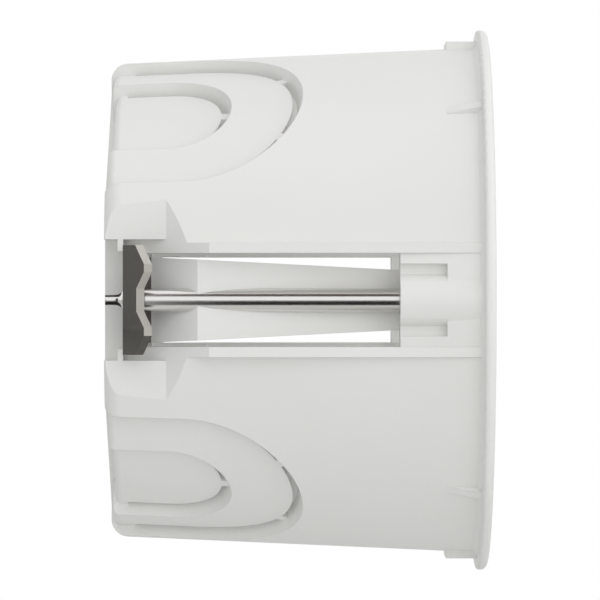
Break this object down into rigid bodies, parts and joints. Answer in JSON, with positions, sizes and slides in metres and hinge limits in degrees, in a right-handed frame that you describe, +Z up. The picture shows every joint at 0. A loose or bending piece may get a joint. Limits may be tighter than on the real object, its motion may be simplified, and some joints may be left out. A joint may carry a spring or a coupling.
{
  "type": "flush mounting box",
  "caption": "Round flush mounting box for hollow walls: a tapered plastic cup with a thin flange, stepped knock-outs, and steel claws drawn up ramps by long screws.",
  "frame": {"origin": "centre of the flange's back face, in the plane of the wall's front", "axes": "+X out of the wall through the opening, +Z up, claws on -Y (left) and +Y (right)"},
  "size_m": [0.0494, 0.0712, 0.0712],
  "materials": {
    "moulded_plastic": "injection moulded, fine matt",
    "claw_steel": "stamped, dark oiled",
    "screw_steel": "bright zinc plated",
    "washer_steel": "zinc plated"
  },
  "bodies": {
    "box": {"box_body": "moulded_plastic"},
    "left_washer": {"left_swivel_washer": "washer_steel"},
    "left_screw": {"left_claw_screw": "screw_steel"},
    "left_grip": {"left_claw": "claw_steel"},
    "right_washer": {"right_swivel_washer": "washer_steel"},
    "right_screw": {"right_claw_screw": "screw_steel"},
    "right_grip": {"right_claw": "claw_steel"}
  },
  "joints": [
    {"name": "left_screw_swing", "type": "hinge", "parent": "box", "child": "left_washer", "pos_m": [0.001, -0.0294, 0], "axis": [0, 0, 1], "range_deg": [0, 7]},
    {"name": "left_screw_turn", "type": "hinge", "parent": "left_washer", "child": "left_screw", "pos_m": [0, -0.0294, 0], "axis": [-1, 0, 0], "range_deg": [0, 4320]},
    {"name": "left_claw_slide", "type": "slide", "parent": "left_washer", "child": "left_grip", "axis": [1, 0, 0], "range_m": [0, 0.006]},
    {"name": "right_screw_swing", "type": "hinge", "parent": "box", "child": "right_washer", "pos_m": [0.001, 0.0294, 0], "axis": [0, 0, -1], "range_deg": [0, 7]},
    {"name": "right_screw_turn", "type": "hinge", "parent": "right_washer", "child": "right_screw", "pos_m": [0, 0.0294, 0], "axis": [-1, 0, 0], "range_deg": [0, 4320]},
    {"name": "right_claw_slide", "type": "slide", "parent": "right_washer", "child": "right_grip", "axis": [1, 0, 0], "range_m": [0, 0.006]}
  ],
  "couplings": [
    {"joint": "left_screw_turn", "follows": "left_claw_slide", "rad_per_m": 12566},
    {"joint": "left_screw_swing", "follows": "left_claw_slide", "rad_per_m": 20.36},
    {"joint": "right_screw_turn", "follows": "right_claw_slide", "rad_per_m": 12566},
    {"joint": "right_screw_swing", "follows": "right_claw_slide", "rad_per_m": 20.36}
  ]
}
